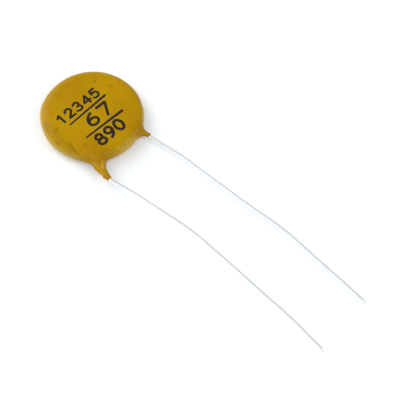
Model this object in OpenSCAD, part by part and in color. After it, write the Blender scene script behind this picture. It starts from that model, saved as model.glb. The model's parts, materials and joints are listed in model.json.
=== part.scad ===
// Ceramic disc capacitor with two radial wire leads, lying on its back.
// Origin: centre of the coating's flat back face. +Z points up out of the marked face,
// and the leads run towards -Y. Lengths are in millimetres, angles in degrees.

/* [Ceramic] */
// Diameter of the fired ceramic disc
ceramic_d = 14; // [12:0.1:18]
// Thickness of the fired ceramic disc
ceramic_t = 0.4; // [0.25:0.05:1]
// Bare ring of ceramic left outside each electrode
electrode_margin = 0.6; // [0.3:0.05:1]
// Thickness of each silver electrode
electrode_t = 0.05; // [0.03:0.01:0.1]

/* [Coating] */
// Resin around the edge of the ceramic
coat_rim = 0.95; // [0.6:0.05:1.5]
// Resin over the wires, on each face
coat_cover = 0.49; // [0.35:0.01:1]

/* [Tails] */
// Length of the front tail beyond the rim, along its wire
front_tail_len = 4.15; // [3:0.05:6]
// Length of the rear tail beyond the rim, along its wire
rear_tail_len = 1.35; // [1.2:0.05:4]
// Thickness of a tail's round nose, where the wire leaves it
tail_nose_t = 0.8; // [0.7:0.01:1]
// Width of a tail over its thickness
tail_flatness = 1.3; // [1:0.05:1.5]
// Radius of the resin's curve from the rim into the front tail's outer side, seen from above
front_outer_curve_r = 5; // [3:0.1:7]
// Radius of that curve on the front tail's inner side
front_inner_curve_r = 0.8; // [0.5:0.1:1.5]
// Radius of that curve on both sides of the rear tail
rear_curve_r = 0.5; // [0.3:0.05:0.6]
// Half thickness of the resin along these curves
curve_edge_r = 0.45; // [0.3:0.01:0.5]

/* [Leads] */
// Diameter of the tinned copper wire
lead_d = 0.51; // [0.4:0.01:0.65]
// Angle by which each wire leans outwards across the disc
splay = 14; // [5:0.5:20]
// Distance of the front wire from the disc's axis, on the centre line
front_lead_x = 3.3; // [2:0.1:4]
// Distance of the rear wire from the disc's axis, on the centre line
rear_lead_x = 1.95; // [1.5:0.05:4]
// Length of each wire past the disc's centre line
lead_overlap = 0.6; // [0.2:0.1:2]
// Straight front wire from its tail's tip to the first turn, negative where the turn starts inside the tail
front_stub = -0.1; // [-0.2:0.05:1]
// Straight rear wire from its tail's tip to the first turn
rear_stub = 0.15; // [0.1:0.05:1]
// Radius of the turn beside a tail, on the wire's middle
kink_r = 1.5; // [1:0.1:4]
// Radius of the later turns, on the wire's middle
bend_r = 5; // [2:0.5:15]
// Turn of the front lead beside its tail, positive towards +X
front_kink = 27.4; // [5:0.1:40]
// First straight run of the front lead
front_run = 3.9; // [2:0.1:15]
// Turn of the front lead after its first run
front_bend = -4.6; // [-30:0.1:30]
// Second straight run of the front lead
front_second_run = 10.3; // [3:0.1:20]
// Turn of the front lead after its second run
front_second_bend = -8.5; // [-30:0.1:30]
// Third straight run of the front lead
front_third_run = 19.8; // [5:0.1:30]
// Turn of the front lead after its third run
front_third_bend = -3.6; // [-20:0.1:20]
// Last straight run of the front lead
front_last_run = 6.9; // [3:0.1:20]
// Turn of the rear lead beside its tail
rear_kink = -3.7; // [-30:0.1:-1]
// First straight run of the rear lead
rear_run = 5.9; // [3:0.1:15]
// Turn of the rear lead after its first run
rear_bend = -5.5; // [-20:0.1:20]
// Second straight run of the rear lead
rear_second_run = 10.4; // [3:0.1:15]
// Turn of the rear lead after its second run
rear_second_bend = 2.4; // [-20:0.1:20]
// Third straight run of the rear lead
rear_third_run = 8.2; // [2:0.1:15]
// Turn of the rear lead after its third run
rear_third_bend = -7.6; // [-20:0.1:20]
// Last straight run of the rear lead
rear_last_run = 17; // [10:0.1:30]

/* [Solder] */
// Solder between each wire and its electrode
solder_film = 0.05; // [0.03:0.01:0.1]
// Solder over the top of each wire
solder_cover = 0.15; // [0.05:0.01:0.25]
// Solder past the inner end of each wire
solder_end = 0.5; // [0.3:0.05:1]
// Length of wire, from its inner end, that the solder covers
solder_len = 4; // [2:0.1:5]

/* [Hidden] */
$fn = 96;

RESIN = "#b08a0c";
CERAMIC = "#c9a877";
SILVER = "#c8c8c4";
SOLDER = "#a9abad";
TINNED = "#d8d9da";

// Electrode's outer face above the ceramic's middle plane, and the wire's middle above each of them
electrode_z = ceramic_t/2 + electrode_t;
wire_lift = solder_film + lead_d/2;
wire_z = electrode_z + wire_lift;
// Coated disc, whose rim is fully round
body_t = 2*(wire_z + lead_d/2 + coat_cover);
body_r = ceramic_d/2 + coat_rim;
rim_r = body_t/2;
rim_mid_r = body_r - rim_r;
electrode_r = ceramic_d/2 - electrode_margin;
// Round section of the solder, centred a little below its electrode
solder_foot = 0.1;
solder_r = solder_foot + solder_film + lead_d + solder_cover;
// How far a tail's root starts below the rim, and the curves into it below what they join
root_sink = 0.3;
curve_sink = 0.03;
nose_r = tail_nose_t/2;
root_r = rim_r - root_sink;

// A wire and its tail: side of the middle plane, x on the centre line, heading (the turn from -Y
// towards +X), length of the tail, and straight wire past it
SIDE = 0;
X = 1;
HEADING = 2;
TAIL = 3;
STUB = 4;
FRONT = [1, -front_lead_x, -splay, front_tail_len, front_stub];
REAR = [-1, rear_lead_x, splay, rear_tail_len, rear_stub];

function across(heading) = [cos(heading), sin(heading)];
function along(heading) = [sin(heading), -cos(heading)];
function angle_of(v) = atan2(v.y, v.x);
function half_turn(angle) = (angle + 540) % 360 - 180;
// Distance along a wire from the centre line to a circle about the disc's axis
function circle_at(wire, r) =
    sqrt(pow(r, 2) - pow(wire[X]*cos(wire[HEADING]), 2)) - wire[X]*sin(wire[HEADING]);
// Distance along a wire from the centre line to its tail's tip, and from the tail's nose to its root
function tail_reach(wire) = circle_at(wire, body_r) + wire[TAIL];
function tail_span(wire) = tail_reach(wire) - nose_r - circle_at(wire, rim_mid_r);
// Angle between a tail's middle line and its side, at the side of its thickness
function tail_taper(wire) = asin((root_r - nose_r)/norm([tail_span(wire), wire_z]));

// Moves children to the tip of a wire's tail: z runs out along the wire, and y points up
module at_tip(wire)
    translate([wire[X], 0, body_t/2 + wire[SIDE]*wire_z])
        rotate([90, 0, wire[HEADING]])
            translate([0, 0, tail_reach(wire)])
                children();

// Moves children in two steps, a rounded one and the small rest, so that no digit of the move is lost
module exact_move(v) {
    coarse = [for (c = v) round(100*c)/100];
    translate(coarse)
        translate(v - coarse)
            children();
}

// Keeps the half of a profile on the right of its axis
module right_half(size)
    intersection() {
        children();
        translate([0, -size])
            square([size, 2*size]);
    }

// Flat disc with a fully round rim
module coated_disc()
    rotate_extrude() {
        square([rim_mid_r, body_t]);
        right_half(2*body_r)
            translate([rim_mid_r, rim_r])
                circle(r = rim_r);
    }

// Flattened drop of resin: a round nose at the tip, and a round root in the middle of the rim
module tail_drop(wire) {
    span = norm([tail_span(wire), wire_z]);
    taper = tail_taper(wire);
    edge = [cos(taper), -sin(taper)];
    tilt = atan(wire_z/tail_span(wire));
    at_tip(wire)
        translate([0, 0, -nose_r])
            rotate([-wire[SIDE]*tilt, 0, 0])
                mirror([0, 0, 1])
                    scale([tail_flatness, 1, 1])
                        rotate_extrude() {
                            right_half(2*span) {
                                circle(r = nose_r);
                                translate([0, span])
                                    circle(r = root_r);
                            }
                            polygon([[0, 0], nose_r*edge, [0, span] + root_r*edge, [0, span]]);
                        }
}

// Bead that rounds the corner between the rim and a tail's side, along an arc of radius r.
// The arc turns about a vertical axis and is tangent to both, just under their surfaces.
module tail_curve(wire, hand, r) {
    height = wire_z/2;
    rim_reach = sqrt(pow(rim_r - curve_edge_r - curve_sink, 2) - pow(height, 2));
    rim_touch_r = rim_mid_r + rim_reach + curve_edge_r;
    out = along(wire[HEADING]);
    aside = hand*across(wire[HEADING]);
    taper = atan(tail_flatness*tan(tail_taper(wire)));
    face = cos(taper)*aside + sin(taper)*out;
    down = cos(taper)*out - sin(taper)*aside;
    nose = [wire[X], 0] + out*(tail_reach(wire) - nose_r);
    nose_reach = norm([tail_flatness*nose_r*cos(taper), nose_r*sin(taper)]);
    from_axis = nose*face + nose_reach - curve_sink + r;
    centre = from_axis*face + sqrt(pow(rim_touch_r + r, 2) - pow(from_axis, 2))*down;
    at_rim = angle_of(-centre);
    sweep = half_turn(angle_of(-face) - at_rim);
    translate([centre.x, centre.y, body_t/2 + wire[SIDE]*height])
        rotate([0, 0, sweep < 0 ? at_rim + sweep : at_rim])
            rotate_extrude(angle = abs(sweep))
                translate([r + curve_edge_r, 0])
                    circle(r = curve_edge_r);
}

// One tail with the curve on its outer and its inner side
module tail(wire, outer_r, inner_r) {
    tail_drop(wire);
    tail_curve(wire, -wire[SIDE], outer_r);
    tail_curve(wire, wire[SIDE], inner_r);
}

// Silver film on one face of the ceramic
module electrode(side)
    translate([0, 0, body_t/2 + side*(ceramic_t + electrode_t)/2])
        cylinder(h = electrode_t, r = electrode_r, center = true);

// Long drop of solder over a wire's inner end, cut off flat at a height above the middle plane
module solder_drop(wire, height) {
    up = wire[SIDE];
    wire_len = lead_overlap + tail_reach(wire);
    intersection() {
        at_tip(wire)
            translate([0, -up*(wire_lift + solder_foot), -wire_len])
                rotate_extrude()
                    right_half(2*solder_len)
                        solder_section();
        translate([0, 0, body_t/2 + up*(height + body_t/2)])
            cube([4*body_r, 4*body_r, body_t], center = true);
    }
}

// Drop of solder that stands on its electrode and closes over the wire
module solder(wire)
    difference() {
        solder_drop(wire, electrode_z);
        lead(wire);
    }

// Straight-sided section with round ends, drawn along the wire from its inner end
module solder_section() {
    translate([0, solder_r - solder_end])
        circle(r = solder_r);
    translate([0, solder_r - solder_end])
        square([solder_r, solder_len - 2*solder_r + solder_end]);
    translate([0, solder_len - solder_r])
        circle(r = solder_r);
}

// Arc of wire from the origin, leaving along z and turning towards +x, or -x if the turn is negative
module wire_turn(turn, r)
    mirror([turn < 0 ? 1 : 0, 0, 0])
        translate([r, 0, 0])
            rotate([90, 0, 180])
                rotate_extrude(angle = abs(turn))
                    translate([r, 0])
                        circle(d = lead_d);

// Moves children to the end of such an arc
module after_turn(turn, r)
    exact_move([sign(turn)*r*(1 - cos(turn)), 0, r*sin(abs(turn))])
        rotate([0, turn, 0])
            children();

// Wire along a list of [turn, turn radius, straight run], from the origin along z
module wire_course(steps, i = 0) {
    turn = steps[i][0];
    r = steps[i][1];
    run = steps[i][2];
    wire_turn(turn, r);
    after_turn(turn, r) {
        cylinder(h = run, d = lead_d);
        if (i + 1 < len(steps))
            translate([0, 0, run])
                wire_course(steps, i + 1);
    }
}

// Wire from its inner end, straight out through its tail, then along its course
module lead(wire) {
    front_course = [[front_kink, kink_r, front_run], [front_bend, bend_r, front_second_run],
                    [front_second_bend, bend_r, front_third_run], [front_third_bend, bend_r, front_last_run]];
    rear_course = [[rear_kink, kink_r, rear_run], [rear_bend, bend_r, rear_second_run],
                   [rear_second_bend, bend_r, rear_third_run], [rear_third_bend, bend_r, rear_last_run]];
    wire_len = lead_overlap + tail_reach(wire) + wire[STUB];
    at_tip(wire)
        translate([0, 0, wire[STUB]]) {
            translate([0, 0, -wire_len])
                cylinder(h = wire_len, d = lead_d);
            wire_course(wire[SIDE] > 0 ? front_course : rear_course);
        }
}

module resin_coating()
    color(RESIN)
        difference() {
            union() {
                coated_disc();
                tail(FRONT, front_outer_curve_r, front_inner_curve_r);
                tail(REAR, rear_curve_r, rear_curve_r);
            }
            ceramic_disc();
            translate([0, 0, body_t/2])
                cylinder(h = 2*electrode_z, r = electrode_r, center = true);
            for (wire = [FRONT, REAR]) {
                solder_drop(wire, 0);
                lead(wire);
            }
        }

module ceramic_disc()
    color(CERAMIC)
        translate([0, 0, body_t/2])
            cylinder(h = ceramic_t, d = ceramic_d, center = true);

module front_electrode()
    color(SILVER)
        electrode(1);

module rear_electrode()
    color(SILVER)
        electrode(-1);

module front_solder()
    color(SOLDER)
        solder(FRONT);

module rear_solder()
    color(SOLDER)
        solder(REAR);

module front_lead()
    color(TINNED)
        lead(FRONT);

module rear_lead()
    color(TINNED)
        lead(REAR);

resin_coating();
ceramic_disc();
front_electrode();
rear_electrode();
front_solder();
rear_solder();
front_lead();
rear_lead();
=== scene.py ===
"""Ceramic disc capacitor lying on a white floor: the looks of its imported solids.

Shapes are worked out in millimetres in the part's frame, and become metres when a mesh is made.
"""
import json
import math

import bpy
import numpy as np
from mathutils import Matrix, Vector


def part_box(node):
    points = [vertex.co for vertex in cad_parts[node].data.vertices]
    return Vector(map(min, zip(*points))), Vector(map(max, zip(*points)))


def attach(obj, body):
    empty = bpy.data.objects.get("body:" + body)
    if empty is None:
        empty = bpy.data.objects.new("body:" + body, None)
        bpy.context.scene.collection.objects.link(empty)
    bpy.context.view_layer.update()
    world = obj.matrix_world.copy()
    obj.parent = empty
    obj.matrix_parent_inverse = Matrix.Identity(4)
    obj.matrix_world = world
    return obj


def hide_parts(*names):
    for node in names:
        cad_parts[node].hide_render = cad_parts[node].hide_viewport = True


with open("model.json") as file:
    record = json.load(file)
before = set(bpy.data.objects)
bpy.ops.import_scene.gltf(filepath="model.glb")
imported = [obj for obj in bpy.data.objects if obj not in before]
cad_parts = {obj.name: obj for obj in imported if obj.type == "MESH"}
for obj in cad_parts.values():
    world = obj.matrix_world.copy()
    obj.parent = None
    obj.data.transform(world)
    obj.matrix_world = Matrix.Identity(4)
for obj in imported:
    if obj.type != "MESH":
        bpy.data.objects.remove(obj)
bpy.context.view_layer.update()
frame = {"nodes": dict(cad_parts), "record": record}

MM = 0.001
UP = np.array([0.0, 0.0, 1.0])


def node_box(node):
    """Lowest and highest corner of a solid, in millimetres."""
    low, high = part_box(node)
    return np.array(low)/MM, np.array(high)/MM


# Camera, fitted to the disc's outline and the leads in a frame of 400 pixels
FRAME_PX = 400
FOCAL_PX = 2794.6
SENSOR_MM = 36.0
CAM_AZIMUTH = -44.0
CAM_ELEVATION = 59.24
CAM_DISTANCE = 420.0
CAM_TARGET = (2.07, -21.48, 0.0)

# Coated disc: the box of its solid, and how the dipped resin departs from it
COAT_LOW, COAT_HIGH = node_box("resin_coating")
COAT_MID = (COAT_LOW[2] + COAT_HIGH[2])/2
COAT_HALF_T = (COAT_HIGH[2] - COAT_LOW[2])/2
DISC_R = COAT_HIGH[0]
OUTLINE_INSET = 0.012
FACE_BLEND = 0.06
RIM_BLEND = 1.2
# Swells of the outline: direction and half width in degrees, height
OUTLINE_SWELLS = (
    (127, 14, 0.13),
    (-165, 14, -0.12),
    (90, 13, -0.05),
    (-27, 9, -0.05),
    (-11, 11, 0.03),
    (157, 9, -0.03),
    (38, 26, 0.08),
)
# Slow waves that sink into the surface: half depth, wave vector in radians per millimetre, phase
SURFACE_WAVES = (
    (0.005, (0.9, 0.5, 0.0), 0.4),
    (0.004, (-0.6, 1.3, 0.4), 1.9),
    (0.003, (1.9, -1.4, 0.9), 2.6),
    (0.002, (-2.7, -2.1, 1.6), 0.8),
)

# Tails: bars that taper from a root in or near the rim to a nose round the wire, each with
# its two ends, the radius at each, and its width over its thickness
FRONT_DROP = ((-5.28, -7.34, 1.3), (-5.87, -9.85, 1.55), 0.82, 0.33, 1.25)
FRONT_WEB = ((-4.55, -5.39, 1.3), (-5.92, -9.23, 1.54), 0.5, 0.33, 1.2)
FRONT_SLEEVE = ((-4.95, -6.6, 2.02), (-5.83, -10.16, 1.84), 0.37, 0.33, 1.0)
REAR_DROP = ((3.07, -6.37, 1.41), (4.06, -8.11, 0.85), 0.92, 0.38, 1.05)
FRONT_BLEND = 2.02
REAR_BLEND = 0.82
WEB_BLEND = 0.5
SLEEVE_BLEND = 0.32
# How far from each tail the resin has its browner colour and painted shade
FRONT_RUN_AND_SHADE = 2.4
REAR_RUN_AND_SHADE = 0.7

# Blemishes of the face, rim and front tail: place, radius, depth (negative stands proud), darkness; the
# dark of the pit below the bubble on the near rim is painted shade
SPECKS = (
    ((4.05, 3.82, 2.6), 0.22, 0.01, 0.55),
    ((5.31, 1.58, 2.6), 0.24, 0.01, 0.48),
    ((-6.12, 1.32, 2.5), 0.3, 0.01, 0.42),
    ((-7.3, -0.36, 2.1), 0.34, 0.02, 0.46),
    ((-4.66, -3.56, 2.6), 0.26, 0.01, 0.42),
    ((-1.44, -7.3, 2.3), 0.24, -0.06, 0.0),
    # Dark pit below the bubble: painted shade
    ((-1.75, -7.65, 1.9), 0.2, 0.03, 0.5),
    ((-5.95, -9.95, 1.8), 0.4, 0.0, 0.2),
)
# A crease, darkened along its line, and, inside the near rim, a band of painted shade: two ends, radius,
# depth, darkness
CREASE_AND_SHADE_BAND = (
    ((-6.28, -1.75, 2.5), (-6.65, -4.2, 2.2), 0.17, 0.02, 0.46),
    # Band of painted shade inside the near rim
    ((-6.7, 3.3, 2.4), (-6.75, -2.4, 2.25), 0.62, 0.0, 0.2),
)
# Streaks of painted highlight on the near tail's ridges and painted glints on the rim: two ends, radius,
# strength
HIGHLIGHT_STREAKS = (
    # Painted highlights on the near tail's ridge and left flank
    ((-4.6, -7.37, 2.2), (-5.46, -8.17, 2.26), 0.24, 0.85),
    ((-5.73, -6.45, 1.84), (-6.07, -9.1, 1.84), 0.21, 0.4),
    # Painted glints on the near rim
    ((-1.5, -7.22, 2.33), (-1.2, -7.3, 2.3), 0.24, 0.5),
    ((0.3, -7.42, 2.28), (0.9, -7.4, 2.27), 0.26, 0.35),
)
# Net over the coating: step of its grid, and margin round the solid's box
NET_STEP = 0.11
NET_MARGIN = 3*NET_STEP
# How its points settle onto the field's zero: rounds, step for the slope, least square of the slope
SETTLE_ROUNDS = 5
SLOPE_STEP = 0.01
LEAST_STEEP = 0.05
# Rounds in which a point comes down onto the upper face
FACE_ROUNDS = 8

# Leads, on the course of their solids: x on the centre line, heading in degrees from -Y towards +X,
# length from the rim to the first turn, and for each bend its turn, its radius, the straight run after
# it, and the length over which a wire bent by hand bows
LEAD_OVERLAP = 0.6
FRONT_COURSE = (-3.3, -14.0, 4.05, (
    (27.4, 1.5, 3.9, 0.0),
    (-4.6, 5.0, 10.3, 4.0),
    (-8.5, 5.0, 19.8, 6.0),
    (-3.6, 5.0, 6.87, 5.0),
))
REAR_COURSE = (1.95, 14.0, 1.5, (
    (-3.7, 1.5, 5.9, 1.0),
    (-5.5, 5.0, 10.4, 4.0),
    (2.4, 5.0, 8.2, 4.0),
    (-7.6, 5.0, 17.0, 7.0),
))
LEAD_STEP = 0.1
LEAD_SIDES = 28
# Slight waves of wire straightened by hand: height, length, phase
LEAD_WAVES = ((0.022, 11.3, 0.6), (0.010, 4.1, 2.2))
# Length past the disc's radius and the tail at which the waves begin, and over which they grow and fade
WAVE_START = 2
WAVE_GROWTH = 4
WAVE_FADE = 3
# Wedge that the cutter leaves at a lead's end: its length, the shares of the wire's thickness that it takes
# and of its width that it adds, and the power by which it thins
WEDGE_LEN = 0.34
WEDGE_PINCH = 0.72
WEDGE_SPREAD = 0.10
WEDGE_POWER = 1.5

# Marking: plain numbers in three rows with rules between them, read along +X
INK_LIFT = 0.003
INK_HALF_T = 0.006
INK_STEP = 0.06
INK_SIDES = 10
# Points of a figure's arc, steps of each of its straight lines, and its width at a height of 1
CURVE_POINTS = 40
LINE_STEPS = 12
FIGURE_W = 0.6
# Rows: figures, left end of the base line, width and height of a figure, space between figures,
# half a stroke's width
MARK_ROWS = (
    ("12345", (-4.85, 1.52), 1.15, 1.55, 0.55, 0.19),
    ("67", (-1.75, -2.0), 1.75, 2.1, 0.9, 0.23),
    ("890", (-2.95, -5.4), 1.3, 1.9, 0.55, 0.24),
)
# Rules: left end, right end, half the width at each
RULES = (((-3.9, 0.66), (3.45, 0.9), 0.13, 0.21), ((-3.7, -2.74), (3.45, -2.93), 0.14, 0.24))

# Light: name, bearing in degrees from the camera's right, elevation, distance and width in millimetres,
# and the brightness that each softbox alone gives a white floor
SOFTBOXES = (
    ("key_softbox", 144.0, 35.0, 320.0, 260.0, 0.26),
    ("right_softbox", -12.0, 42.0, 320.0, 120.0, 0.14),
)
# White tent: its colour, its levels on the dim and the bright side, the bearing and elevation of the
# bright side, and the cosines between which it grows
TENT_TINT = (0.93, 0.965, 1.0)
TENT_DIM = 0.57
TENT_BRIGHT = 1.06
TENT_BEARING = 175.0
TENT_ELEVATION = 52.0
TENT_EDGES = (-0.2, 0.95)
# Dim panel in the tent: the share of light that it takes, its bearing and elevation, and the cosines at
# its outer and inner edge
PANEL_SHADE = 0.7
PANEL_BEARING = 90.0
PANEL_ELEVATION = 59.0
PANEL_EDGES = (0.76, 0.96)
# Floor: half its side in millimetres, its colour, and its glow where it is seen and where it is mirrored
FLOOR_HALF = 2000.0
FLOOR_WHITE = (0.905, 0.92, 0.926)
FLOOR_GLOW = 0.13
FLOOR_MIRRORED = 0.25

# Resin: fresh, in browner and greener patches, in mottles, with a painted sheen at the rim's edge, browner
# where it ran along the wires and in painted shade round the tails' roots, in streaks of painted highlight,
# and under dirt and painted shade
RESIN_FRESH = (0.475, 0.262, 0.0)
RESIN_BROWN = (0.43, 0.222, 0.0)
RESIN_GREEN = (0.43, 0.27, 0.0)
RESIN_MOTTLE = (0.47, 0.275, 0.002)
# Painted sheen at the rim's edge
RESIN_EDGE_SHEEN = (0.57, 0.43, 0.1)
# Browner resin on the tails, also painted shade round their roots
RESIN_RUN_AND_SHADE = (0.385, 0.185, 0.0)
# Painted highlight
RESIN_HIGHLIGHT = (0.62, 0.38, 0.012)
# Dirt, and painted shade
RESIN_DIRT_AND_SHADE = (0.13, 0.055, 0.0)
# Ink where it is full and where it is thin, and tinned wire where it is bright, dull and scuffed
INK_FULL = (0.021, 0.012, 0.004)
INK_THIN = (0.075, 0.042, 0.006)
TIN_BRIGHT = (0.9, 0.9, 0.9)
TIN_DULL = (0.82, 0.82, 0.83)
TIN_SCUFFED = (0.58, 0.58, 0.59)
# Sealed inner pieces: name of the finish, its light and dark shade, grains in a millimetre, roughness,
# and whether it is metal
CERAMIC = ("fired_ceramic", (0.62, 0.43, 0.22), (0.5, 0.33, 0.15), 5.0, 0.6, 0.0)
SILVER = ("fired_silver", (0.66, 0.66, 0.63), (0.48, 0.48, 0.45), 7.0, 0.42, 1.0)
SOLDER = ("tin_solder", (0.48, 0.49, 0.5), (0.33, 0.34, 0.35), 3.0, 0.3, 1.0)
# Numbers of a Mix node's colour sockets: its two inputs and its result
MIX_FIRST = 6
MIX_SECOND = 7
MIX_RESULT = 2


# Meshes

def new_piece(name, verts, faces, material, attributes=None):
    """Object at the origin whose mesh has these points in millimetres, smooth, with point attributes."""
    mesh = bpy.data.meshes.new(name)
    mesh.from_pydata((np.asarray(verts)*MM).tolist(), [], faces)
    mesh.polygons.foreach_set("use_smooth", np.ones(len(mesh.polygons), dtype=bool))
    for key, values in (attributes or {}).items():
        attribute = mesh.attributes.new(key, "FLOAT", "POINT")
        attribute.data.foreach_set("value", np.asarray(values, np.float32))
    mesh.materials.append(material)
    piece = bpy.data.objects.new(name, mesh)
    bpy.context.scene.collection.objects.link(piece)
    return piece


def tube_faces(rings, sides):
    """Quads between the rings of a closed tube, and triangles to the pole at each end.

    The points of the rings are numbered first, then the start pole and the end pole.
    """
    ring, side = np.meshgrid(np.arange(rings - 1), np.arange(sides), indexing="ij")
    here = ring*sides + side
    beside = ring*sides + (side + 1) % sides
    quads = np.stack([here, beside, beside + sides, here + sides], -1).reshape(-1, 4)
    first = np.arange(sides)
    second = (first + 1) % sides
    last = (rings - 1)*sides
    start = np.stack([np.full(sides, rings*sides), second, first], -1)
    end = np.stack([np.full(sides, rings*sides + 1), last + first, last + second], -1)
    return [quads, start, end]


def tube_piece(name, tubes, material):
    """One piece of closed tubes, each given by its rings, its start pole and its end pole."""
    verts = []
    faces = []
    count = 0
    for rings, start, end in tubes:
        points = np.concatenate([rings.reshape(-1, 3), [start, end]])
        for group in tube_faces(*rings.shape[:2]):
            faces += (group + count).tolist()
        verts.append(points)
        count += len(points)
    return new_piece(name, np.concatenate(verts), faces, material)


# Coating

def smooth_min(a, b, blend):
    """Lower of two fields, rounded where they differ by less than the blend."""
    near = np.clip(blend - np.abs(a - b), 0, None)/blend
    return np.minimum(a, b) - near*near*blend/4


def smooth_max(a, b, blend):
    """Higher of two fields, rounded in the same way."""
    return -smooth_min(-a, -b, blend)


def from_segment(points, a, b):
    """Distance of points from the segment a to b, and the share of its length where their feet lie."""
    axis = b - a
    share = np.clip(((points - a) @ axis)/(axis @ axis), 0, 1)
    return np.linalg.norm(points - a - share[..., None]*axis, axis=-1), share


def bar_field(points, bar):
    """Distance to a bar whose radius is nose + (root - nose)*(1 + cos(pi*share))/2 along its length.

    Heights count flatness times, so the bar is wider than it is thick.
    """
    a, b, root_r, nose_r, flatness = bar
    stretch = np.array([1.0, 1.0, flatness])
    away, share = from_segment(points*stretch, a*stretch, b*stretch)
    return away - nose_r - (root_r - nose_r)*(1 + np.cos(np.pi*share))/2


def disc_field(points):
    """Distance to a disc with a round rim and an uneven outline.

    It is the distance from the flat plate within the rim's middle circle, less half the thickness.
    """
    x, y, z = np.moveaxis(points, -1, 0)
    turn = np.degrees(np.arctan2(y, x))
    edge_r = DISC_R - OUTLINE_INSET
    for direction, half_width, height in OUTLINE_SWELLS:
        off = (turn - direction + 180) % 360 - 180
        edge_r = edge_r + height*np.exp(-(off/half_width)**2)
    out = smooth_max(np.hypot(x, y) - edge_r + COAT_HALF_T, 0.0, RIM_BLEND)
    return np.hypot(out, z - COAT_MID) - COAT_HALF_T


def front_tail_field(points):
    """The longer tail: a drop below the wire, a web from it into the disc, and a sleeve round the wire."""
    field = smooth_min(bar_field(points, FRONT_DROP), bar_field(points, FRONT_WEB), WEB_BLEND)
    return smooth_min(field, bar_field(points, FRONT_SLEEVE), SLEEVE_BLEND)


def blemishes_and_shade(points):
    """Depth and darkness of the specks, the crease and the band of painted shade, each fading as
    exp(-(distance/radius)^2).
    """
    depth, dark = np.zeros((2, *points.shape[:-1]))
    for place, radius, pit, shade in SPECKS:
        near = np.exp(-(((points - np.array(place))/radius)**2).sum(-1))
        depth += pit*near
        dark += shade*near
    for start, end, radius, pit, shade in CREASE_AND_SHADE_BAND:
        near = np.exp(-(from_segment(points, np.array(start), np.array(end))[0]/radius)**2)
        depth += pit*near
        dark += shade*near
    return depth, np.clip(dark, 0, 1)


def highlight_streaks(points):
    """Strength of the painted highlights, each fading as strength*exp(-(distance/radius)^2)."""
    painted_highlight = np.zeros(points.shape[:-1])
    for start, end, radius, strength in HIGHLIGHT_STREAKS:
        away = from_segment(points, np.array(start), np.array(end))[0]
        painted_highlight = np.maximum(painted_highlight, strength*np.exp(-(away/radius)**2))
    return painted_highlight


def coat_field(points):
    """Field that is zero on the coating.

    Disc and tails are blended and held between the two faces. Slow waves and the depths of the specks and
    the crease go into them.
    """
    field = smooth_min(disc_field(points), front_tail_field(points), FRONT_BLEND)
    field = smooth_min(field, bar_field(points, REAR_DROP), REAR_BLEND)
    field = smooth_max(field, np.abs(points[..., 2] - COAT_MID) - COAT_HALF_T, FACE_BLEND)
    for half_depth, wave, phase in SURFACE_WAVES:
        field = field + half_depth*(1 + np.sin(points @ np.array(wave) + phase))
    return field + blemishes_and_shade(points)[0]


def settle(points):
    """Points moved along the field's slope, by central differences, until the field is zero there."""
    moves = SLOPE_STEP*np.eye(3)
    for _ in range(SETTLE_ROUNDS):
        ahead = [coat_field(points + move) for move in moves]
        behind = [coat_field(points - move) for move in moves]
        slope = (np.stack(ahead, -1) - np.stack(behind, -1))/(2*SLOPE_STEP)
        steep = np.clip((slope**2).sum(-1, keepdims=True), LEAST_STEEP, None)
        points = points - coat_field(points)[..., None]*slope/steep
    return points


def net_points(values):
    """A point in each cell of a grid that the surface crosses, and the number of each cell's point.

    A point is the mean of the surface's crossings of its cell's edges, counted in steps of the grid.
    The numbers have the shape of the cells, and are -1 where the surface doesn't cross.
    """
    shape = np.array(values.shape) - 1
    total = np.zeros((*shape, 3))
    count = np.zeros(shape)
    axes = np.eye(3, dtype=int)
    corners = np.indices((2, 2, 2)).reshape(3, -1).T
    for corner in corners:
        for axis in axes[corner == 0]:
            here = values[tuple(slice(c, c + n) for c, n in zip(corner, shape))]
            there = values[tuple(slice(c, c + n) for c, n in zip(corner + axis, shape))]
            crossed = (here < 0) != (there < 0)
            share = np.divide(here, here - there, out=np.zeros(shape), where=crossed)
            total += crossed[..., None]*(corner + share[..., None]*axis)
            count += crossed
    cells = np.argwhere(count > 0)
    numbers = np.full(shape, -1)
    numbers[count > 0] = np.arange(len(cells))
    return cells + total[count > 0]/count[count > 0][:, None], numbers


def net_faces(values, numbers):
    """A quad round each grid edge that the surface crosses, through the points of its four cells."""
    inside = values < 0
    quads = []
    for axis in range(3):
        ends = np.moveaxis(inside, axis, 0)
        edges = np.argwhere(np.moveaxis(ends[:-1] != ends[1:], 0, axis))
        u, v = np.roll(np.eye(3, dtype=int), -axis, axis=0)[1:]
        around = [edges, edges - u, edges - u - v, edges - v]
        quad = np.stack([numbers[tuple(cell.T)] for cell in around], -1)
        leaves = inside[tuple(edges.T)]
        quads.append(np.where(leaves[:, None], quad, quad[:, ::-1]))
    return np.concatenate(quads)


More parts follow.
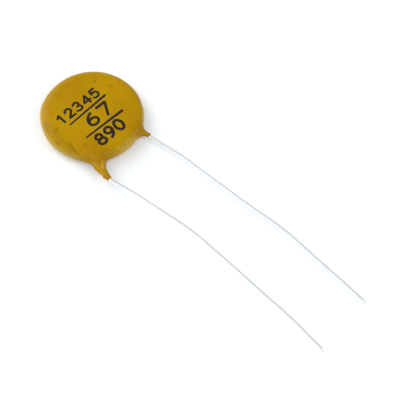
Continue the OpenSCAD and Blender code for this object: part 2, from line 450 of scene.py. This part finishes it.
def make_coating(material):
    """The coating: a net over the zero of its field, settled onto it.

    Its attributes say where the resin ran and where painted shade lies round the tails, how near it is to
    the rim's edge, where painted highlights lie, and where dirt and painted shade sit.
    """
    low = COAT_LOW - NET_MARGIN
    axes = [np.arange(first, last + NET_MARGIN, NET_STEP) for first, last in zip(low, COAT_HIGH)]
    values = coat_field(np.stack(np.meshgrid(*axes, indexing="ij"), -1))
    points, numbers = net_points(values)
    points = settle(low + NET_STEP*points)
    disc = disc_field(points)
    front = np.clip(front_tail_field(points) - disc, 0, None)
    rear = np.clip(bar_field(points, REAR_DROP) - disc, 0, None)
    # Where resin ran along the wires, and where painted shade lies round the tails' roots
    run = np.maximum(np.exp(-(front/FRONT_RUN_AND_SHADE)**2), np.exp(-(rear/REAR_RUN_AND_SHADE)**2))
    rim = np.clip(1 + (np.hypot(points[:, 0], points[:, 1]) - DISC_R)/COAT_HALF_T, 0, 1)
    # The marks also carry painted shade round the tails' roots, painted highlights, and painted shade with
    # the dirt
    marks = {"run": run, "rim": rim, "painted_highlight": highlight_streaks(points), "dirt_and_shade": blemishes_and_shade(points)[1]}
    return new_piece("dipped_coating", points, net_faces(values, numbers).tolist(), material, marks)


def face_height(x, y):
    """Height of the coating's upper face over plan points, coming down onto the field's zero."""
    z = np.full(np.shape(x), COAT_HIGH[2])
    for _ in range(FACE_ROUNDS):
        z = z - coat_field(np.stack([x, y, z], -1))
    return z


# Leads

def lead_course(course):
    """Plan points, headings and distances along a lead from its inner end.

    The heading is constant on straight runs and changes evenly on bends, and the course is its running
    integral.
    """
    x, heading, out, bends = course
    turn = math.radians(heading)
    reach = math.sqrt(DISC_R**2 - (x*math.cos(turn))**2) - x*math.sin(turn) + out
    length = LEAD_OVERLAP + reach
    marks = []
    turns = []
    now = turn
    for bend, radius, run, bow in bends:
        arc = radius*math.radians(abs(bend))
        half = max(arc, bow)/2
        marks += [length + arc/2 - half, length + arc/2 + half]
        turns += [now, now + math.radians(bend)]
        now = turns[-1]
        length += arc + run
    gone = np.linspace(0, length, int(length/LEAD_STEP))
    middle = np.interp((gone[1:] + gone[:-1])/2, marks, turns)
    moves = np.diff(gone)[:, None]*np.column_stack([np.sin(middle), -np.cos(middle)])
    start = np.array([x, 0.0]) - LEAD_OVERLAP*np.array([math.sin(turn), -math.cos(turn)])
    return start + np.vstack([[0, 0], np.cumsum(moves, axis=0)]), np.interp(gone, marks, turns), gone


def make_lead(name, node, course, wire_r, material):
    """A round wire along its course, with slight waves past its tail and a wedge at its cut end."""
    plan, heading, gone = lead_course(course)
    low, high = node_box(node)
    path = np.column_stack([plan, np.full(len(plan), (low[2] + high[2])/2)])
    across = np.column_stack([np.cos(heading), np.sin(heading), np.zeros(len(heading))])
    left = gone[-1] - gone
    waved = gone - DISC_R - course[2] - WAVE_START
    free = np.clip(waved/WAVE_GROWTH, 0, 1)*np.clip(left/WAVE_FADE, 0, 1)
    for height, length, phase in LEAD_WAVES:
        path = path + (free*height*np.sin(2*np.pi*gone/length + phase))[:, None]*across
    wedge = np.clip(1 - left/WEDGE_LEN, 0, 1)
    wide = wire_r*(1 + WEDGE_SPREAD*wedge)
    thick = wire_r*(1 - WEDGE_PINCH*wedge**WEDGE_POWER)
    turn = np.linspace(0, 2*np.pi, LEAD_SIDES, endpoint=False)
    rings = path[:, None] + (wide[:, None]*np.cos(turn))[..., None]*across[:, None]
    rings = rings + (thick[:, None]*np.sin(turn))[..., None]*UP
    return tube_piece(name, [(rings, path[0], path[-1])], material)


# Marking

def curve(cx, cy, rx, ry, start, end):
    """Points of an ellipse's arc, from start to end in degrees."""
    turn = np.radians(np.linspace(start, end, CURVE_POINTS))
    return np.column_stack([cx + rx*np.cos(turn), cy + ry*np.sin(turn)])


def line(*corners):
    """Points along straight strokes from corner to corner."""
    corners = np.array(corners)
    at = np.linspace(0, len(corners) - 1, LINE_STEPS*(len(corners) - 1) + 1)
    return np.column_stack([np.interp(at, np.arange(len(corners)), axis) for axis in corners.T])


# Strokes of the figures, each about FIGURE_W wide and 1 high. A nine is a six turned upside down.
SIX = [curve(0.3, 0.29, 0.27, 0.29, 0, 360), curve(0.62, 0.3, 0.59, 0.7, 105, 180)]
TWO_BOW = curve(0.29, 0.71, 0.27, 0.29, 165, -38)
FIGURES = {
    "0": [curve(0.3, 0.5, 0.29, 0.5, 0, 360)],
    "1": [line((0.12, 0.76), (0.36, 1.0), (0.36, 0.0))],
    "2": [np.vstack([TWO_BOW, line((0.49, 0.52), (0.02, 0.0), (0.6, 0.0))])],
    "3": [curve(0.27, 0.755, 0.25, 0.245, 150, -90), curve(0.27, 0.255, 0.3, 0.255, 90, -150)],
    "4": [line((0.46, 0.0), (0.46, 1.0), (0.0, 0.3), (0.64, 0.3))],
    "5": [line((0.54, 1.0), (0.12, 1.0), (0.07, 0.55)), curve(0.27, 0.325, 0.3, 0.325, 132, -145)],
    "6": SIX,
    "7": [line((0.02, 1.0), (0.6, 1.0), (0.2, 0.0))],
    "8": [curve(0.3, 0.755, 0.235, 0.245, 0, 360), curve(0.3, 0.265, 0.29, 0.265, 0, 360)],
    "9": [np.array([FIGURE_W, 1.0]) - stroke for stroke in SIX],
}


def ink_stroke(stroke, start_w, end_w):
    """A flat pill of ink along a stroke, lying on the face.

    Its half width goes evenly from start to end, and falls as a half circle at both ends.
    """
    steps = np.linalg.norm(np.diff(stroke, axis=0), axis=1)
    first = stroke[0] + (stroke[0] - stroke[1])/steps[0]*start_w
    last = stroke[-1] + (stroke[-1] - stroke[-2])/steps[-1]*end_w
    marks = np.cumsum([0, start_w, *steps, end_w])
    gone = np.linspace(0, marks[-1], int(marks[-1]/INK_STEP))
    plan = np.column_stack([np.interp(gone, marks, axis) for axis in np.vstack([first, stroke, last]).T])
    heading = np.gradient(plan, axis=0)
    heading = heading/np.linalg.norm(heading, axis=1, keepdims=True)
    beside = np.column_stack([-heading[:, 1], heading[:, 0]])
    from_end = np.clip(np.minimum(gone/start_w, (marks[-1] - gone)/end_w), 0, 1)
    full = np.sqrt(1 - (1 - from_end)**2)
    half_w = full*np.interp(gone, [0, marks[-1]], [start_w, end_w])
    turn = np.linspace(0, 2*np.pi, INK_SIDES, endpoint=False)
    rings = plan[:, None] + (half_w[:, None]*np.cos(turn))[..., None]*beside[:, None]
    height = face_height(rings[..., 0], rings[..., 1]) + INK_LIFT + INK_HALF_T*full[:, None]*np.sin(turn)
    rings = np.concatenate([rings, height[..., None]], -1)
    return rings[1:-1], rings[0, 0], rings[-1, 0]


def make_marking(material):
    """Rows of figures, and the rules between them."""
    strokes = [ink_stroke(line(left, right), left_w, right_w) for left, right, left_w, right_w in RULES]
    for figures, start, width, height, space, half_w in MARK_ROWS:
        size = np.array([width/FIGURE_W, height])
        for place, name in enumerate(figures):
            corner = np.array(start) + np.array([place*(width + space), 0.0])
            strokes += [ink_stroke(corner + size*stroke, half_w, half_w) for stroke in FIGURES[name]]
    return tube_piece("printed_marking", strokes, material)


# Materials

class Sock:
    """A socket of a material's nodes. Arithmetic on it adds Math nodes, and node() adds any other node."""

    def __init__(self, socket):
        self.socket = socket
        self.tree = socket.id_data

    def node(self, kind, settings=None, inputs=None, out=0):
        """Output of a new node: its settings first, then values or links of its sockets."""
        made = self.tree.nodes.new(kind)
        for key, value in (settings or {}).items():
            setattr(made, key, value)
        for key, value in (inputs or {}).items():
            if isinstance(value, Sock):
                self.tree.links.new(value.socket, made.inputs[key])
            else:
                made.inputs[key].default_value = value
        return Sock(made.outputs[out])

    def math(self, operation, a, b):
        """Result of a Math node on two sockets or numbers."""
        return self.node("ShaderNodeMath", {"operation": operation}, {0: a, 1: b})

    def __add__(self, other):
        return self.math("ADD", self, other)

    def __sub__(self, other):
        return self.math("SUBTRACT", self, other)

    def __rsub__(self, other):
        return self.math("SUBTRACT", other, self)

    def __mul__(self, other):
        return self.math("MULTIPLY", self, other)

    __radd__ = __add__
    __rmul__ = __mul__

    def ramp(self, low, high):
        """0 up to low, 1 from high on, smooth between."""
        inputs = {"Value": self, "From Min": low, "From Max": high}
        return self.node("ShaderNodeMapRange", {"interpolation_type": "SMOOTHSTEP"}, inputs)

    def along(self, direction):
        """Dot product of this vector with a direction."""
        inputs = {0: self, 1: tuple(direction)}
        return self.node("ShaderNodeVectorMath", {"operation": "DOT_PRODUCT"}, inputs, "Value")

    def noise(self, per_mm, detail, stretch=(1, 1, 1)):
        """Noise on these coordinates, with this many features in a millimetre."""
        at = self.node("ShaderNodeVectorMath", {"operation": "MULTIPLY"}, {0: self, 1: stretch})
        return self.node("ShaderNodeTexNoise", None, {"Vector": at, "Scale": per_mm/MM, "Detail": detail})

    def attribute(self, name):
        """A point attribute of the piece."""
        return self.node("ShaderNodeAttribute", {"attribute_name": name}, None, "Fac")

    def mix(self, first, second):
        """Colour that goes from the first to the second as this mask goes from 0 to 1."""
        inputs = {0: self}
        for key, colour in ((MIX_FIRST, first), (MIX_SECOND, second)):
            inputs[key] = colour if isinstance(colour, Sock) else (*colour, 1.0)
        return self.node("ShaderNodeMix", {"data_type": "RGBA"}, inputs, MIX_RESULT)

    def bump(self, height_mm):
        """Normal of a surface that this value raises by up to this height."""
        return self.node("ShaderNodeBump", None, {"Height": self, "Distance": height_mm*MM})


def new_material(name, constants):
    """Material with these constants on its shader, the shader's inputs and the object's coordinates."""
    material = bpy.data.materials.new(name)
    material.use_nodes = True
    tree = material.node_tree
    inputs = tree.nodes["Principled BSDF"].inputs
    for key, value in constants.items():
        inputs[key].default_value = value
    return material, inputs, Sock(tree.nodes.new("ShaderNodeTexCoord").outputs["Object"])


def feed(inputs, colour, roughness, normal):
    """Links what changes over the surface to the shader."""
    for key, value in (("Base Color", colour), ("Roughness", roughness), ("Normal", normal)):
        value.tree.links.new(value.socket, inputs[key])


def resin_paint():
    """Dipped mustard resin of satin gloss, with browner and greener patches.

    It has a painted sheen at the rim's edge and streaks of painted highlight, is brown where it ran along
    the wires and in painted shade round the tails' roots, and is dark in specks and in painted shade inside
    the near rim.
    """
    material, inputs, at = new_material("dipped_resin", {"Specular IOR Level": 0.11})
    patch = at.noise(0.22, 2.0).ramp(0.38, 0.68)
    green = at.noise(0.31, 1.0, (1, 1, 2)).ramp(0.48, 0.75)
    mottle = at.noise(2.4, 4.0)
    grain = at.noise(6.5, 3.0)
    run = at.attribute("run")
    edge = at.attribute("rim").ramp(0.55, 1.0)
    painted_highlight = at.attribute("painted_highlight")
    dirt_and_shade = at.attribute("dirt_and_shade")
    colour = patch.mix(RESIN_FRESH, RESIN_BROWN)
    colour = (green*0.45).mix(colour, RESIN_GREEN)
    colour = (mottle.ramp(0.42, 0.8)*0.2).mix(colour, RESIN_MOTTLE)
    # Painted sheen: paler towards the rim's edge, away from the tails
    colour = (edge*(1 - run)*0.65).mix(colour, RESIN_EDGE_SHEEN)
    # Browner resin on the tails, with painted shade in the hollows round their roots
    colour = (run*0.8).mix(colour, RESIN_RUN_AND_SHADE)
    # Painted highlights on the tails' ridges and glints on the rim
    colour = painted_highlight.mix(colour, RESIN_HIGHLIGHT)
    # Dirt in the specks, with painted shade in a band inside the near rim and in the pit below the bubble
    colour = dirt_and_shade.mix(colour, RESIN_DIRT_AND_SHADE)
    feed(inputs, colour, 0.2 + mottle*0.12 + dirt_and_shade*0.2, (grain + mottle*1.5).bump(0.0015))
    return material


def ink_paint():
    """Stamped ink: brown-black, thin in small spots."""
    material, inputs, at = new_material("stamped_ink", {"Specular IOR Level": 0.25})
    thin = at.noise(3.2, 3.0).ramp(0.58, 0.82)
    colour = thin.mix(INK_FULL, INK_THIN)
    feed(inputs, colour, 0.45 + thin*0.2, at.noise(8.0, 2.0).bump(0.002))
    return material


def tinned_paint():
    """Bright tinned wire: drawing lines along it, duller patches and small scuffs."""
    material, inputs, at = new_material("tinned_copper", {"Metallic": 1.0})
    drawn = at.noise(14.0, 2.0, (1, 0.03, 1))
    dull = at.noise(0.5, 3.0).ramp(0.45, 0.75)
    scuff = at.noise(5.0, 4.0, (1, 0.35, 1)).ramp(0.62, 0.78)
    colour = dull.mix(TIN_BRIGHT, TIN_DULL)
    colour = (scuff*0.4).mix(colour, TIN_SCUFFED)
    feed(inputs, colour, 0.42 + dull*0.1 + scuff*0.1, (drawn + scuff*0.5).bump(0.001))
    return material


def inner_paint(name, light, dark, per_mm, roughness, metallic):
    """Finish of a sealed inner piece: two shades in fine grains over slow patches."""
    material, inputs, at = new_material(name, {"Metallic": metallic})
    grain = at.noise(per_mm, 5.0)
    mask = (grain*0.6 + at.noise(per_mm/9, 2.0)*0.4).ramp(0.35, 0.68)
    feed(inputs, mask.mix(light, dark), roughness + mask*0.15, grain.bump(0.005))
    return material


def floor_paint():
    """White floor that takes shadows.

    It has a little glow of its own where it is seen, and more where it is mirrored.
    """
    material, _, at = new_material("white_floor", {})
    rays = ("Is Camera Ray", "Is Glossy Ray", "Is Transmission Ray")
    path = at.tree.nodes.new("ShaderNodeLightPath")
    camera, glossy, through = [Sock(path.outputs[ray]) for ray in rays]
    strength = camera*FLOOR_GLOW + (glossy + through)*FLOOR_MIRRORED
    glow = at.node("ShaderNodeEmission", None, {"Strength": strength})
    white = at.node("ShaderNodeBsdfDiffuse", None, {"Color": (*FLOOR_WHITE, 1.0)})
    both = at.node("ShaderNodeAddShader", None, {0: white, 1: glow})
    at.tree.links.new(both.socket, at.tree.nodes["Material Output"].inputs["Surface"])
    return material


# Stage

def camera_axes():
    """The camera's right, up and back directions."""
    turn = math.radians(CAM_AZIMUTH)
    rise = math.radians(CAM_ELEVATION)
    right = np.array([math.cos(turn), math.sin(turn), 0.0])
    back = math.sin(rise)*UP - math.cos(rise)*np.cross(UP, right)
    return right, np.cross(back, right), back


def turned_object(name, data, axes, place):
    """Camera or lamp whose own axes point along these, at a place in millimetres."""
    matrix = np.eye(4)
    matrix[:3, :3] = np.column_stack(axes)
    matrix[:3, 3] = np.array(place)*MM
    made = bpy.data.objects.new(name, data)
    made.matrix_world = matrix.T.tolist()
    bpy.context.scene.collection.objects.link(made)
    return made


def make_camera():
    """Camera at the photograph's viewing angle."""
    data = bpy.data.cameras.new("camera")
    data.sensor_width = SENSOR_MM
    data.lens = FOCAL_PX*SENSOR_MM/FRAME_PX
    axes = camera_axes()
    place = np.array(CAM_TARGET) + CAM_DISTANCE*axes[2]
    bpy.context.scene.camera = turned_object("camera", data, axes, place)


def towards(bearing, elevation):
    """Direction at a bearing from the camera's right and an elevation, in degrees."""
    turn = math.radians(CAM_AZIMUTH + bearing)
    rise = math.radians(elevation)
    return np.array([math.cos(rise)*math.cos(turn), math.cos(rise)*math.sin(turn), math.sin(rise)])


def make_softbox(name, bearing, elevation, distance, width, level):
    """Square lamp aimed at the view's centre. A white floor under it alone is as bright as its level.

    That floor's brightness is the power times the sine of the elevation, over the square of pi times the
    distance.
    """
    back = towards(bearing, elevation)
    right = np.cross(UP, back)/np.linalg.norm(np.cross(UP, back))
    data = bpy.data.lights.new(name, "AREA")
    data.size = width*MM
    data.energy = level*(math.pi*distance*MM)**2/back[2]
    turned_object(name, data, (right, np.cross(back, right), back), np.array(CAM_TARGET) + distance*back)


def make_tent():
    """World like a white tent, brighter on one side, with a dim panel that the part's face mirrors."""
    world = bpy.data.worlds.new("tent")
    world.use_nodes = True
    bpy.context.scene.world = world
    tree = world.node_tree
    way = Sock(tree.nodes.new("ShaderNodeTexCoord").outputs["Generated"])
    side = way.along(towards(TENT_BEARING, TENT_ELEVATION)).ramp(*TENT_EDGES)
    panel = way.along(towards(PANEL_BEARING, PANEL_ELEVATION)).ramp(*PANEL_EDGES)
    strength = (TENT_DIM + side*(TENT_BRIGHT - TENT_DIM))*(1 - panel*PANEL_SHADE)
    tree.links.new(strength.socket, tree.nodes["Background"].inputs["Strength"])
    tree.nodes["Background"].inputs["Color"].default_value = (*TENT_TINT, 1.0)


def make_floor():
    """Flat floor under the part."""
    corners = FLOOR_HALF*np.array([(-1, -1, 0), (1, -1, 0), (1, 1, 0), (-1, 1, 0)])
    new_piece("floor", corners, [(0, 1, 2, 3)], floor_paint())


def dress(node, material):
    """Gives a carried-over solid its finish."""
    for slot in frame["nodes"][node].material_slots:
        slot.material = material


bpy.context.scene.view_settings.view_transform = "Standard"
make_camera()
make_tent()
make_floor()
for softbox in SOFTBOXES:
    make_softbox(*softbox)

coating = make_coating(resin_paint())
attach(coating, "root")
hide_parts("resin_coating")

marking = make_marking(ink_paint())
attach(marking, "root")

pin = next(mount for mount in frame["record"]["mounts"] if mount["kind"] == "pin")
tinned = tinned_paint()
for node, course in (("front_lead", FRONT_COURSE), ("rear_lead", REAR_COURSE)):
    lead = make_lead(node + "_wire", node, course, pin["dims"]["r_mm"], tinned)
    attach(lead, "root")
    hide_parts(node)

dress("ceramic_disc", inner_paint(*CERAMIC))
silver = inner_paint(*SILVER)
solder = inner_paint(*SOLDER)
for side in ("front", "rear"):
    dress(side + "_electrode", silver)
    dress(side + "_solder", solder)
